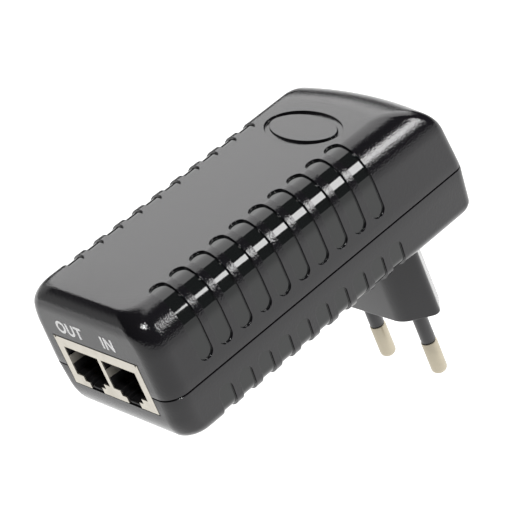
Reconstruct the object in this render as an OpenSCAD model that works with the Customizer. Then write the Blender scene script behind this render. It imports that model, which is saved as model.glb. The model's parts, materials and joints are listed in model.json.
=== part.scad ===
// Wall-plug power-over-Ethernet injector: a two-shell case with a plug boss and
// two mains pins underneath, and a shielded dual modular jack in its front end.
// Origin: middle of the plug boss's pin face. X across, Y from jack to rear, Z up.

/* [Case] */
// Width of the case at the parting line
case_w = 46.6; // [45.4:0.2:49]
// Length from the jack face to the middle of the bowed rear wall
case_l = 95.2; // [94:0.4:100]
// Height of the top cover above the parting line
top_h = 20.4; // [19.8:0.2:23]
// Depth of the bottom cover below the parting line
base_h = 13.2; // [12.8:0.2:15]
// How far the rear wall bows out past its corners
rear_bow = 2.3; // [1.5:0.1:4]
// Wall thickness of both covers
wall = 2; // [1.8:0.1:2.2]
// Visible gap at the parting line
seam_gap = 0.3; // [0.2:0.05:0.5]

/* [Grip recesses] */
// Number of recesses in each row
recess_count = 10; // [6:1:10]
// Distance between neighbouring recesses
recess_pitch = 6; // [5.6:0.1:6.2]
// Width of one recess
recess_w = 4; // [3:0.1:4.4]
// Depth of the recesses
recess_depth = 0.5; // [0.3:0.05:0.7]
// Distance from the jack face to the first recess of the top cover
recess_first_y = 12.6; // [12:0.2:16]
// Distance from the jack face to the first recess of the bottom cover
recess_base_first_y = 13.7; // [13:0.1:16]

/* [Oval ring] */
// Length of the oval ring across the case
oval_w = 24.8; // [18:0.2:26]
// Width of the oval ring along the case
oval_l = 12.2; // [9:0.2:14]
// Width of the ring's groove
oval_groove_w = 1.3; // [0.8:0.1:1.6]
// Depth of the ring's groove
oval_groove_depth = 0.6; // [0.4:0.1:0.8]

/* [Plug] */
// Height of the pin face below the parting line
boss_drop = 31.8; // [30:0.2:33]
// Width of the boss across its two pointed sides
boss_w = 35; // [34:0.2:35.3]
// Depth of the boss between its two flat sides
boss_l = 12.8; // [12.4:0.1:13.7]
// Distance from the jack face to the pins
plug_y = 75.6; // [74:0.2:76]
// Distance between the two pins
pin_spacing = 18.4; // [18:0.1:19]
// Length of a pin beyond the pin face
pin_l = 19.4; // [18.5:0.1:19.5]
// Diameter of the bare metal tip
pin_d = 4; // [3.94:0.02:4.06]
// Length of the insulating sleeve beyond the pin face
sleeve_l = 10; // [9:0.1:11]
// Diameter of the sleeve
sleeve_d = 3.64; // [3.6:0.02:3.68]

/* [Modular jack] */
// Width of the jack shield
jack_w = 31.4; // [31:0.2:31.8]
// Height of the jack shield
jack_h = 13.5; // [13.3:0.1:13.7]
// Depth of the jack shield behind its face
jack_l = 16; // [15.6:0.2:16.6]
// Height of the shield's bottom edge below the parting line
jack_drop = 4.8; // [4.7:0.1:4.9]
// Distance between the two ports
port_pitch = 14; // [13.9:0.05:14.1]
// Width of a port's opening
port_w = 12.6; // [12.2:0.1:12.6]

/* [Circuit] */
// Length of the circuit board
board_l = 63.8; // [62:0.2:64.6]
// Width of the circuit board
board_w = 40; // [39:0.2:40.4]
// Thickness of the circuit board
board_t = 1.6; // [1.4:0.2:1.6]

/* [Hidden] */
$fn = 48;
eps = 0.01;
clear = 0.25;

shell_grey = [0.16, 0.16, 0.17];
half_w = case_w / 2;

// Upper shoulders: draft per millimetre of height, then an elliptical rounding
// given as [inward reach, height], for the sides, the front and the rear.
top_draft = [0.012, 0.01, 0.1];
top_round = [[7.6, 10], [3.6, 4.8], [12.4, 10]];
base_draft = [0.125, 0.01, 0.02];
base_round = [[4.6, 3.6], [4.6, 7.4], [3.6, 3.6]];
front_corner_r = 5;
rear_corner_r = 3;
shoulder_steps = 7;
bow_steps = 12;

// Recesses: where their round ends sit.
recess_top_x = 15.3;
recess_low_z = 5.5;
recess_base_x = 16.5;
recess_base_z = -6.5;
oval_y = 71.2;

// Height of the bottom cover's lip above the parting line
lip_h = 1.5;

board_top = -jack_drop - 0.1;
board_y = 3;
board_corner_r = 5.4;
// Plug boss: length of its flat sides, and radii of its pointed and side corners
boss_flat = 22;
boss_tip_r = 1.6;
boss_side_r = 7;
boss_wall = 1.9;
boss_floor = 3;
pin_core_r = 1.5;
pin_collar_r = 2.6;
pin_nose_r = 1.4;
pin_top_z = -9.5;
lead_r = 0.9;
post_positions = [[-17.4, 20], [17.4, 20], [-17.4, 62.5], [17.4, 62.5]];
post_r = 2;
peg_r = 1.2;
label_size = [30, 44];
label_y = 40.5;

port_top = jack_h - jack_drop - 2.65;
port_full_h = 7.8;
latch_w = 7.8;
latch_h = 1.4;
notch_w = 4.7;
shield_t = 0.3;
contact_pitch = 1.02;
contact_r = 0.22;
// Contact arms: [Y, Z] of the bend that they swing on, and of the free end
contact_pivot = [3.4, port_top + 0.55];
contact_end = [11.2, port_top - 2.5];

// Transformer: place along the case, and size of its core
transformer_y = 39;
core_w = 18;
core_t = 5;
core_h = 15;
core_z = board_top + 2.6;

// ---- Helpers ----

// Moves a piece from the case's own axes (jack face, parting line) to the origin.
module in_case() { translate([0, -plug_y, boss_drop]) children(); }

module mirrored_x() { children(); mirror([1, 0, 0]) children(); }

function arc(centre, r, from, to, steps) =
  [for (i = [0:steps]) let (a = from + (to - from) * i / steps)
    centre + r * [cos(a), sin(a)]];

// Plan outline: rounded front corners, and a rear wall that is one shallow arc.
function outline(w, y0, y1, front_r, rear_r) =
  let (
    bow_r = (w * w + rear_bow * rear_bow) / (2 * rear_bow),
    bow_y = y1 - bow_r,
    corner_x = w - rear_r,
    corner_y = bow_y + sqrt(pow(bow_r - rear_r, 2) - corner_x * corner_x),
    meet = atan2(corner_y - bow_y, corner_x)
  )
  concat(
    arc([w - front_r, y0 + front_r], front_r, -90, 0, 8),
    arc([corner_x, corner_y], rear_r, 0, meet * 0.999, 4),
    arc([0, bow_y], bow_r, meet, 180 - meet, bow_steps),
    arc([-corner_x, corner_y], rear_r, 180 - meet * 0.999, 180, 4),
    arc([front_r - w, y0 + front_r], front_r, 180, 270, 8)
  );

// How far an elliptical rounding has reached inward at height z of a shell h high.
function reach(z, h, round) =
  let (u = max(0, (z - (h - round[1])) / round[1]))
  round[0] * (1 - sqrt(max(0, 1 - u * u)));

function level_outline(z, h, draft, round, inset) =
  let (side = reach(z, h, round[0]))
  outline(
    half_w - inset - draft[0] * z - side,
    inset + draft[1] * z + reach(z, h, round[1]),
    case_l - inset - draft[2] * z - reach(z, h, round[2]),
    max(front_corner_r - 0.9 * inset, 0.8),
    max(rear_corner_r - 0.14 * side - 0.36 * inset, 0.8)
  );

// Heights of the rings: close together where the shoulder is round.
function levels(h, round) =
  let (start = h - max([for (r = round) r[1]]))
  concat([0, start], [for (i = [1:shoulder_steps]) start + (h - start) * sin(90 * i / shoulder_steps)]);

// One closed solid through a stack of plan outlines, above (up = 1) or below (up = -1) the seam.
module shell_solid(h, draft, round, inset, up) {
  zs = levels(h, round);
  rings = [for (z = zs) level_outline(z, h, draft, round, inset)];
  n = len(rings[0]);
  height = h - inset;
  points = [for (k = [0:len(zs) - 1], p = rings[k]) [p[0], p[1], up * zs[k] * height / h]];
  sides = [for (k = [0:len(zs) - 2], j = [0:n - 1]) let (a = k * n + j, b = k * n + (j + 1) % n)
    each [[a, b + n, b], [a, a + n, b + n]]];
  bottom = [[for (j = [0:n - 1]) j]];
  top = [[for (j = [n - 1:-1:0]) (len(zs) - 1) * n + j]];
  if (up > 0) polyhedron(points, concat(sides, bottom, top));
  else polyhedron(points, [for (f = concat(sides, bottom, top)) [for (j = [len(f) - 1:-1:0]) f[j]]]);
}

module top_solid(inset) { shell_solid(top_h, top_draft, top_round, inset, 1); }
module base_solid(inset) { shell_solid(base_h, base_draft, base_round, inset, -1); }

// Bars with a round inner end, one for each recess, on both sides of the case.
module recess_bars(inner_x, first_y, h) {
  linear_extrude(h) mirrored_x() for (i = [0:recess_count - 1])
    translate([inner_x, first_y + i * recess_pitch]) {
      circle(d = recess_w);
      translate([0, -recess_w / 2]) square([half_w, recess_w]);
    }
}

// The same recesses seen from the side: round end at end_z, open towards dir.
module recess_sides(end_z, first_y, dir) {
  rotate([90, 0, 90]) linear_extrude(case_w + 10, center = true)
    for (i = [0:recess_count - 1]) translate([first_y + i * recess_pitch, end_z]) {
      circle(d = recess_w);
      translate([-recess_w / 2, dir > 0 ? 0 : -30]) square([recess_w, 30]);
    }
}

module oval(w, l) {
  polygon([for (a = [0:6:354]) [w / 2 * cos(a), l / 2 * sin(a)]]);
}

// Ring of constant wall that follows the case's outline at the seam.
module seam_ring(outer_inset, inner_inset, z0, h) {
  translate([0, 0, z0]) linear_extrude(h) difference() {
    polygon(level_outline(0, top_h, top_draft, top_round, outer_inset));
    polygon(level_outline(0, top_h, top_draft, top_round, inner_inset));
  }
}

module jack_cutout() {
  translate([-jack_w / 2 - clear, -5, -jack_drop - clear])
    cube([jack_w + 2 * clear, jack_l + 5, jack_h + 2 * clear]);
}

// ---- Covers ----

module top_cover() {
  color(shell_grey) in_case() difference() {
    top_solid(0);
    difference() {
      intersection() {
        recess_bars(recess_top_x, recess_first_y, top_h + 5);
        recess_sides(recess_low_z, recess_first_y, 1);
      }
      top_solid(recess_depth);
    }
    translate([0, 0, -eps]) top_solid(wall);
    translate([0, 0, -1]) linear_extrude(1 + seam_gap / 2) square(300, center = true);
    // Rebate for the bottom cover's lip
    translate([0, 0, -eps]) linear_extrude(lip_h + 0.3)
      polygon(level_outline(0, top_h, top_draft, top_round, wall / 2));
    translate([0, oval_y, top_h - oval_groove_depth]) linear_extrude(5) difference() {
      oval(oval_w, oval_l);
      oval(oval_w - 2 * oval_groove_w, oval_l - 2 * oval_groove_w);
    }
    jack_cutout();
  }
}

// Arc that rounds corner b of an anticlockwise outline, between its neighbours a and c.
function corner(a, b, c, r, steps) =
  let (
    from = atan2(a[0] - b[0], b[1] - a[1]),
    turned = atan2(b[0] - c[0], c[1] - b[1]),
    to = turned < from ? turned + 360 : turned,
    mid = (from + to) / 2
  )
  arc(b - r / cos((to - from) / 2) * [cos(mid), sin(mid)], r, from, to, steps);

// Plug boss outline: a long hexagon with rounded corners.
module boss_outline(inset) {
  tip_r = max(boss_tip_r - inset, 0.5);
  side_r = boss_side_r - inset;
  l = boss_l / 2 - inset;
  flat = boss_flat / 2 - inset * 0.5;
  // The pointed sides stand a little proud, so that the rounded tips reach the full width
  w = boss_w / 2 - inset * 1.2 + 0.42 * tip_r;
  points = [[w, 0], [flat, l], [-flat, l], [-w, 0], [-flat, -l], [flat, -l]];
  polygon([for (i = [0:5]) each
    corner(points[(i + 5) % 6], points[i], points[(i + 1) % 6], i % 3 == 0 ? tip_r : side_r, 6)]);
}

module bottom_cover() {
  color(shell_grey) in_case() difference() {
    union() {
      difference() {
        union() {
          base_solid(0);
          translate([0, plug_y, -boss_drop]) linear_extrude(boss_drop - base_h + 3) boss_outline(0);
        }
        difference() {
          intersection() {
            translate([0, 0, -base_h - 2]) recess_bars(recess_base_x, recess_base_first_y, base_h + 2);
            recess_sides(recess_base_z, recess_base_first_y, -1);
          }
          base_solid(recess_depth);
        }
        translate([0, 0, eps]) base_solid(wall);
        translate([0, plug_y, boss_floor - boss_drop]) linear_extrude(boss_drop) boss_outline(boss_wall);
        // Shallow panel for the label
        translate([-label_size[0] / 2 - 0.3, label_y - label_size[1] / 2 - 0.3, -base_h - 1])
          cube([label_size[0] + 0.6, label_size[1] + 0.6, 1.2]);
      }
      seam_ring(wall / 2 + 0.1, wall, -lip_h, 2 * lip_h);
      // Posts under the circuit board, with locating pegs
      for (p = post_positions) translate([p[0], p[1], -base_h + wall / 2]) {
        cylinder(r = post_r, h = base_h - wall / 2 + board_top - board_t);
        cylinder(r = peg_r, h = base_h - wall / 2 + board_top);
      }
    }
    // Parting gap, left of full height where the lip stands
    translate([0, 0, -seam_gap / 2]) linear_extrude(seam_gap) difference() {
      square(300, center = true);
      polygon(level_outline(0, top_h, top_draft, top_round, wall / 2 + 0.1));
    }
    jack_cutout();
    mirrored_x() translate([pin_spacing / 2, plug_y, -boss_drop - 1])
      cylinder(d = sleeve_d + 0.04, h = boss_floor + 2);
  }
}

module rating_label() {
  color([0.75, 0.76, 0.77]) in_case() translate([0, label_y, -base_h + 0.02])
    linear_extrude(0.14) difference() {
      square(label_size, center = true);
      for (sx = [-1, 1], sy = [-1, 1]) translate([sx * label_size[0], sy * label_size[1]] / 2)
        rotate(45) square(2, center = true);
    }
}

// ---- Plug ----

module plug_pin(side) {
  tip_z = -boss_drop - pin_l;
  shoulder_z = -boss_drop - sleeve_l - 0.05;
  color([0.72, 0.71, 0.69]) in_case() translate([side * pin_spacing / 2, plug_y, 0]) {
    // Bare tip with a rounded end
    translate([0, 0, tip_z]) rotate_extrude() polygon(concat(
      [[0, 0]],
      arc([pin_d / 2 - pin_nose_r, pin_nose_r], pin_nose_r, -90, 0, 7),
      [[pin_d / 2, shoulder_z - tip_z - 0.3], [pin_d / 2 - 0.3, shoulder_z - tip_z], [0, shoulder_z - tip_z]]
    ));
    // Thinner core inside the sleeve and the boss
    translate([0, 0, shoulder_z - eps]) cylinder(r = pin_core_r, h = pin_top_z - shoulder_z);
    // Collar that stops it pulling out through the pin face
    translate([0, 0, boss_floor - boss_drop + 3.2]) cylinder(r = pin_collar_r, h = 1.6);
  }
}

module pin_sleeve(side) {
  color([0.06, 0.06, 0.07]) in_case()
    translate([side * pin_spacing / 2, plug_y, -boss_drop - sleeve_l]) difference() {
      cylinder(d = sleeve_d, h = sleeve_l + boss_floor + 3);
      translate([0, 0, -1]) cylinder(r = pin_core_r + 0.02, h = sleeve_l + boss_floor + 6);
    }
}

// Moulded plate that clamps both pin collars down inside the boss.
module pin_retainer() {
  color([0.85, 0.83, 0.78]) in_case()
    translate([0, plug_y, boss_floor - boss_drop + 4.9]) difference() {
      linear_extrude(4) boss_outline(boss_wall + 0.15);
      mirrored_x() translate([pin_spacing / 2, 0, -1]) cylinder(r = pin_core_r + 0.05, h = 6);
    }
}

// Lead from a pin's solder end, over and down to its pad on the board.
module mains_lead(side, c) {
  bend = 3;
  pad_y = 64.6;
  reach_y = plug_y - pad_y;
  color(c) in_case() translate([side * pin_spacing / 2, plug_y, 0]) rotate([0, 0, 90]) {
    translate([0, 0, pin_top_z + 0.05]) cylinder(r = lead_r, h = 6.45);
    translate([-bend, 0, pin_top_z + 6.5]) rotate([90, 0, 0]) rotate_extrude(angle = 90)
      translate([bend, 0]) circle(r = lead_r);
    translate([-reach_y + bend, 0, pin_top_z + 6.5 + bend]) rotate([0, 90, 0])
      cylinder(r = lead_r, h = reach_y - 2 * bend);
    translate([-reach_y + bend, 0, pin_top_z + 6.5]) rotate([90, 0, 0]) rotate([0, 0, 90])
      rotate_extrude(angle = 90) translate([bend, 0]) circle(r = lead_r);
    translate([-reach_y, 0, board_top + 0.05]) cylinder(r = lead_r, h = pin_top_z + 6.45 - board_top);
  }
}

// ---- Circuit board ----

// Front corners are rounded to clear the case's own rounded corners.
module board_plan() {
  corner = [board_w / 2 - board_corner_r, board_corner_r];
  polygon(concat(
    arc(corner, board_corner_r, -90, 0, 6), [[board_w / 2, board_l], [-board_w / 2, board_l]],
    arc([-corner[0], corner[1]], board_corner_r, 180, 270, 6)
  ));
}

module circuit_board() {
  color([0.16, 0.38, 0.2]) in_case() difference() {
    translate([0, board_y, board_top - board_t]) linear_extrude(board_t) board_plan();
    for (p = post_positions) translate([p[0], p[1], board_top - board_t - 1])
      cylinder(r = peg_r + 0.1, h = board_t + 2);
    // Isolation slot between the mains side and the output side
    translate([12.5, 35.9, board_top - board_t - 1]) cube([4.5, 1.2, board_t + 2]);
  }
}

// ---- Modular jack ----

// A port's opening, latch downwards: full width, then two steps. Drawn in X and Z.
module port_profile(w, notch_end) {
  full = port_top - port_full_h;
  step = full - latch_h;
  polygon([
    [-w / 2, port_top], [-w / 2, full], [-latch_w / 2, full], [-latch_w / 2, step],
    [-notch_w / 2, step], [-notch_w / 2, notch_end], [notch_w / 2, notch_end],
    [notch_w / 2, step], [latch_w / 2, step], [latch_w / 2, full], [w / 2, full], [w / 2, port_top]
  ]);
}

module at_ports() { for (s = [-1, 1]) translate([s * port_pitch / 2, 0, 0]) children(); }

// Extrudes an X-Z profile from y0 back to y1.
module along_y(y0, y1) {
  translate([0, y1, 0]) rotate([90, 0, 0]) linear_extrude(y1 - y0) children();
}

// One grounding finger: a strip bent back from the edge of a port, leaning inwards.
module ground_finger() {
  translate([-port_w / 2 - 0.2, 0.02, 1.1]) rotate([0, 0, -7]) cube([shield_t * 0.8, 5.2, 2.2]);
}

module jack_shield() {
  color([0.78, 0.76, 0.72]) in_case() {
    difference() {
      translate([-jack_w / 2, 0, -jack_drop]) cube([jack_w, jack_l, jack_h]);
      translate([-jack_w / 2 + shield_t, shield_t, -jack_drop - 1])
        cube([jack_w - 2 * shield_t, jack_l - 2 * shield_t, jack_h - shield_t + 1]);
      at_ports() along_y(-1, 1) port_profile(port_w, -jack_drop - 1);
      // Fold reliefs at the two upper corners
      mirrored_x() translate([jack_w / 2 - 0.9, -1, jack_h - jack_drop - 0.5]) cube([0.5, 1.4, 1]);
      // Rear is open below the fold so the terminals can pass
      translate([-jack_w / 2 + 1, jack_l - 1, -jack_drop - 1]) cube([jack_w - 2, 2, jack_h - 2]);
    }
    at_ports() mirrored_x() ground_finger();
    // Board tabs
    for (y = [6.2, 13]) mirrored_x() translate([jack_w / 2 - shield_t, y, -jack_drop - 0.1])
      cube([shield_t, 1.6, 1]);
  }
}

module jack_housing() {
  side = jack_w / 2 - shield_t - 0.05;
  color([0.07, 0.07, 0.08]) in_case() difference() {
    translate([-side, shield_t + 0.05, -jack_drop + 0.05])
      cube([2 * side, jack_l - shield_t - 1.55, jack_h - shield_t - 0.1]);
    at_ports() {
      along_y(0, 13) port_profile(port_w + 0.1, -jack_drop + 0.6);
      // Trough for the contacts above the opening
      translate([-4.4, 1.6, port_top - 1]) cube([8.8, 11.4, 2.4]);
      // Pockets behind the grounding fingers
      translate([-port_w / 2 - 0.45, 0, 0.9]) cube([port_w + 0.9, 5.6, 2.6]);
    }
    // Channel for the terminals, over the back and down to the board
    at_ports() translate([-4.4, 12, port_top + 0.75]) cube([8.8, jack_l, 0.65]);
  }
}

function contact_x(i) = (i - 3.5) * contact_pitch;

// Eight spring arms of one port: each slopes from its bend at the mouth down to the back.
module contact_set(port_x) {
  span = contact_end - contact_pivot;
  tilt = atan2(span[1], span[0]);
  color([0.83, 0.66, 0.3]) in_case() for (i = [0:7])
    translate([port_x + contact_x(i), contact_pivot[0], contact_pivot[1]]) rotate([tilt, 0, 0]) {
      rotate([-90, 0, 0]) cylinder(r = contact_r, h = norm(span), $fn = 16);
      // Round bend at the mouth, which the arm swings on
      rotate([0, 90, 0]) cylinder(r = contact_r * 1.1, h = 2.4 * contact_r, center = true, $fn = 24);
    }
}

// Fixed wires: under the roof to the rear, then down through the board.
module jack_terminals() {
  roof_z = port_top + 1.08;
  back_y = jack_l - 0.9;
  color([0.83, 0.66, 0.3]) in_case() at_ports() for (i = [0:7])
    translate([contact_x(i), 0, 0]) {
      translate([-contact_r, 2.9, roof_z - contact_r]) cube([2 * contact_r, back_y - 2.9, 2 * contact_r]);
      translate([-contact_r, back_y - contact_r, board_top - board_t - 1.2])
        cube([2 * contact_r, 2 * contact_r, roof_z + contact_r - board_top + board_t + 1.2]);
    }
}

// ---- Transformer ----

module core_half() {
  translate([-core_w / 2, -core_t / 2, 0]) cube([core_w, core_t, 2.5]);
  mirrored_x() translate([core_w / 2 - 2.4, -core_t / 2, 0]) cube([2.4, core_t, core_h / 2 - 0.03]);
  translate([-2.4, -core_t / 2, 0]) cube([4.8, core_t, core_h / 2 - 0.03]);
}

module transformer_lower_core() {
  color([0.2, 0.2, 0.21]) in_case() translate([0, transformer_y, core_z]) core_half();
}

module transformer_upper_core() {
  color([0.2, 0.2, 0.21]) in_case()
    translate([0, transformer_y, core_z + core_h]) mirror([0, 0, 1]) core_half();
}

module transformer_bobbin() {
  flange_r = 6.3;
  tube_r = 3.9;
  color([0.12, 0.12, 0.13]) in_case() translate([0, transformer_y, 0]) {
    difference() {
      union() {
        translate([0, 0, core_z + 2.6]) cylinder(r = tube_r, h = core_h - 5.2);
        translate([0, 0, core_z + 2.6]) cylinder(r = flange_r, h = 0.8);
        translate([0, 0, core_z + core_h - 3.4]) cylinder(r = flange_r, h = 0.8);
      }
      translate([-2.5, -core_t / 2 - 0.1, core_z]) cube([5, core_t + 0.2, core_h]);
    }
    // Pin rails in front of and behind the core
    for (s = [-1, 1]) {
      translate([-8, s * 4.8 - 1.2, board_top + 0.1]) cube([16, 2.4, core_z + 2.6 - board_top - 0.1]);
      for (i = [-2:2]) translate([i * 3.4, s * 4.8, board_top - 2.6]) cylinder(r = 0.35, h = 2.8);
    }
  }
}

module winding(inner_r, outer_r) {
  translate([0, transformer_y, core_z + 3.45]) difference() {
    cylinder(r = outer_r, h = core_h - 6.9);
    translate([0, 0, -1]) cylinder(r = inner_r, h = core_h);
  }
}

module primary_winding() { color([0.72, 0.38, 0.16]) in_case() winding(3.95, 4.9); }
module secondary_winding() { color([0.78, 0.45, 0.2]) in_case() winding(4.95, 5.8); }
module transformer_tape() { color([0.9, 0.75, 0.15]) in_case() winding(5.85, 6.1); }

// ---- Components on the board ----

module on_board(x, y) { in_case() translate([x, y, board_top + 0.05]) children(); }

// Wire legs through the board below a component.
module legs(points, r = 0.4) {
  for (p = points) translate([p[0], p[1], -board_t - 1.6]) cylinder(r = r, h = board_t + 1.8);
}

module electrolytic(r, h) {
  cylinder(r = r - 0.25, h = 0.6);
  translate([0, 0, 0.6]) cylinder(r = r, h = 1.2);
  translate([0, 0, 1.8]) cylinder(r = r - 0.3, h = 0.8);
  translate([0, 0, 2.6]) cylinder(r = r, h = h - 2.6);
  legs([[-2.5, 0], [2.5, 0]]);
}

module bulk_capacitor() { color([0.1, 0.12, 0.3]) on_board(-13.6, 49.2) electrolytic(5, 18); }

module output_capacitors() {
  color([0.12, 0.12, 0.14]) {
    on_board(-11.6, 23.6) electrolytic(4, 15);
    on_board(-2.4, 23.6) electrolytic(4, 15);
  }
}

module x_capacitor() {
  color([0.85, 0.7, 0.2]) on_board(-11.5, 58) {
    translate([-6.5, -2.6, 0]) cube([13, 5.2, 11]);
    legs([[-5, 0], [5, 0]]);
  }
}

// A coated disc standing on edge.
module disc_part(r, t) {
  translate([0, t / 2, r + 0.8]) rotate([90, 0, 0]) cylinder(r = r, h = t);
  legs([[-2.5, 0], [2.5, 0]]);
  for (s = [-1, 1]) translate([s * 2.5, 0, 0.1]) cylinder(r = 0.4, h = 3);
}

module y_capacitor() { color([0.15, 0.35, 0.65]) on_board(14.6, 42) disc_part(3.6, 2.6); }
module surge_thermistor() { color([0.15, 0.32, 0.18]) on_board(2.4, 57.6) disc_part(4.2, 3.2); }

module mains_fuse() {
  color([0.1, 0.1, 0.11]) on_board(13.6, 57.4) {
    cylinder(r = 4.2, h = 7.6);
    legs([[-2.5, 0], [2.5, 0]]);
  }
}

module choke_core() {
  color([0.25, 0.28, 0.26]) on_board(11.8, 48.4) translate([0, 0, 5.6]) rotate([90, 0, 0])
    translate([0, 0, -2]) difference() {
      cylinder(r = 4.6, h = 4);
      translate([0, 0, -1]) cylinder(r = 2.6, h = 6);
    }
}

// Two wire coils, one on each side of the ring.
module choke_windings() {
  color([0.75, 0.42, 0.18]) on_board(11.8, 48.4) {
    for (a = [-40:20:40], s = [0, 180]) translate([0, 0, 5.6]) rotate([0, -a - s, 0])
      translate([3.6, 0, 0]) difference() {
        cube([2.8, 5, 0.5], center = true);
        cube([2.1, 4.1, 1], center = true);
      }
    legs([[-4, 0], [4, 0]]);
  }
}

// Flat moulded package with straight legs down both long sides.
module dip(l, w, h, per_side) {
  translate([-w / 2, -l / 2, 0.6]) cube([w, l, h]);
  for (i = [0:per_side - 1], s = [-1, 1])
    translate([s * (w / 2 + 0.5) - 0.15, (i - (per_side - 1) / 2) * 2.54 - 0.25, -board_t - 1])
      cube([0.3, 0.5, board_t + 1 + h / 2 + 0.6]);
  for (i = [0:per_side - 1], s = [-1, 1])
    translate([s * (w / 2 + 0.25) - 0.4, (i - (per_side - 1) / 2) * 2.54 - 0.25, h / 2 + 0.5])
      cube([0.8, 0.5, 0.2]);
}

module bridge_rectifier() { color([0.1, 0.1, 0.1]) on_board(0.4, 50.6) dip(8, 6.4, 3.2, 2); }
module power_switch_chip() { color([0.1, 0.1, 0.1]) on_board(-14.8, 37) dip(9.4, 6.4, 3.3, 4); }
module optocoupler() { color([0.92, 0.92, 0.9]) on_board(14.8, 33) rotate(90) dip(4.6, 4.4, 3.3, 2); }

module diode_heatsink() {
  color([0.8, 0.81, 0.82]) on_board(11.2, 20.4) difference() {
    union() {
      translate([-5.8, -0.75, 0]) cube([11.6, 1.5, 15.4]);
      translate([-5.8, -0.75, 13.9]) cube([11.6, 5, 1.5]);
    }
    translate([0, 2, 10]) rotate([90, 0, 0]) cylinder(r = 1.6, h = 4);
  }
}

module output_diode() {
  color([0.1, 0.1, 0.1]) on_board(11.2, 20.4) difference() {
    union() {
      translate([-5, 0.8, 1.6]) cube([10, 1.3, 11]);
      translate([-5, 0.8, 1.6]) cube([10, 4.2, 5.6]);
      for (s = [-1, 1]) translate([s * 2.54 - 0.35, 2.6, -board_t - 1.5]) cube([0.7, 0.5, board_t + 3.2]);
    }
    translate([0, 5, 10]) rotate([90, 0, 0]) cylinder(r = 1.7, h = 6);
  }
}

module heatsink_screw() {
  color([0.75, 0.75, 0.76]) on_board(11.2, 20.4) translate([0, 2.15, 10]) rotate([90, 0, 0]) {
    translate([0, 0, -1.6]) difference() {
      cylinder(r = 2.3, h = 1.6);
      translate([-2, -0.3, -1]) cube([4, 0.6, 1.7]);
      translate([-0.3, -2, -1]) cube([0.6, 4, 1.7]);
    }
    translate([0, 0, -eps]) cylinder(r = 1.45, h = 4.2);
  }
}

module output_inductor() {
  color([0.16, 0.16, 0.16]) on_board(10.6, 29) {
    cylinder(r = 2.6, h = 1.4);
    translate([0, 0, 1.4]) cylinder(r = 2, h = 5.2);
    translate([0, 0, 6.6]) cylinder(r = 2.6, h = 1.4);
    legs([[-1.6, 0], [1.6, 0]], 0.35);
  }
}

module voltage_reference() {
  color([0.1, 0.1, 0.1]) on_board(4.2, 28.2) {
    translate([0, 0, 2]) intersection() {
      cylinder(r = 2.3, h = 4.6);
      translate([-3, -1.4, -1]) cube([6, 4, 8]);
    }
    for (i = [-1:1]) translate([i * 1.2 - 0.2, -0.2, -board_t - 1.4]) cube([0.4, 0.4, board_t + 3.6]);
  }
}

// Axial resistors lying on the board.
module resistors() {
  spots = [[-17, 29.4], [-12.4, 29.4], [-4.6, 30], [-15.6, 43.1]];
  color([0.75, 0.65, 0.5]) for (p = spots) on_board(p[0], p[1]) translate([0, 0, 1.1]) {
    rotate([0, 90, 0]) translate([0, 0, -1.5]) cylinder(r = 0.95, h = 3);
    for (s = [-1, 1]) {
      translate([s * 1.7 - 0.2, -0.2, -0.2]) cube([0.4, 0.4, 0.4]);
      translate([s * 1.9 - 0.2, -0.2, -board_t - 2]) cube([0.4, 0.4, board_t + 2.2]);
    }
  }
}

top_cover();
bottom_cover();
rating_label();
plug_pin(-1);  // left_plug_pin
plug_pin(1);  // right_plug_pin
pin_sleeve(-1);  // left_pin_sleeve
pin_sleeve(1);  // right_pin_sleeve
pin_retainer();
mains_lead(-1, [0.45, 0.25, 0.12]);  // live_lead
mains_lead(1, [0.15, 0.3, 0.7]);  // neutral_lead
circuit_board();
jack_shield();
jack_housing();
jack_terminals();
contact_set(-port_pitch / 2);  // poe_contacts
contact_set(port_pitch / 2);  // lan_contacts
transformer_lower_core();
transformer_upper_core();
transformer_bobbin();
primary_winding();
secondary_winding();
transformer_tape();
bulk_capacitor();
output_capacitors();
x_capacitor();
y_capacitor();
mains_fuse();
surge_thermistor();
choke_core();
choke_windings();
bridge_rectifier();
power_switch_chip();
optocoupler();
output_diode();
diode_heatsink();
heatsink_screw();
output_inductor();
voltage_reference();
resistors();
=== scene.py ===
"""Visual model of a wall-plug network power injector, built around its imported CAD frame."""

import json
import math
from collections import namedtuple

import bmesh
import bpy
from bpy.props import FloatProperty, FloatVectorProperty, IntProperty, PointerProperty, StringProperty
from mathutils import Matrix, Vector


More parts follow.
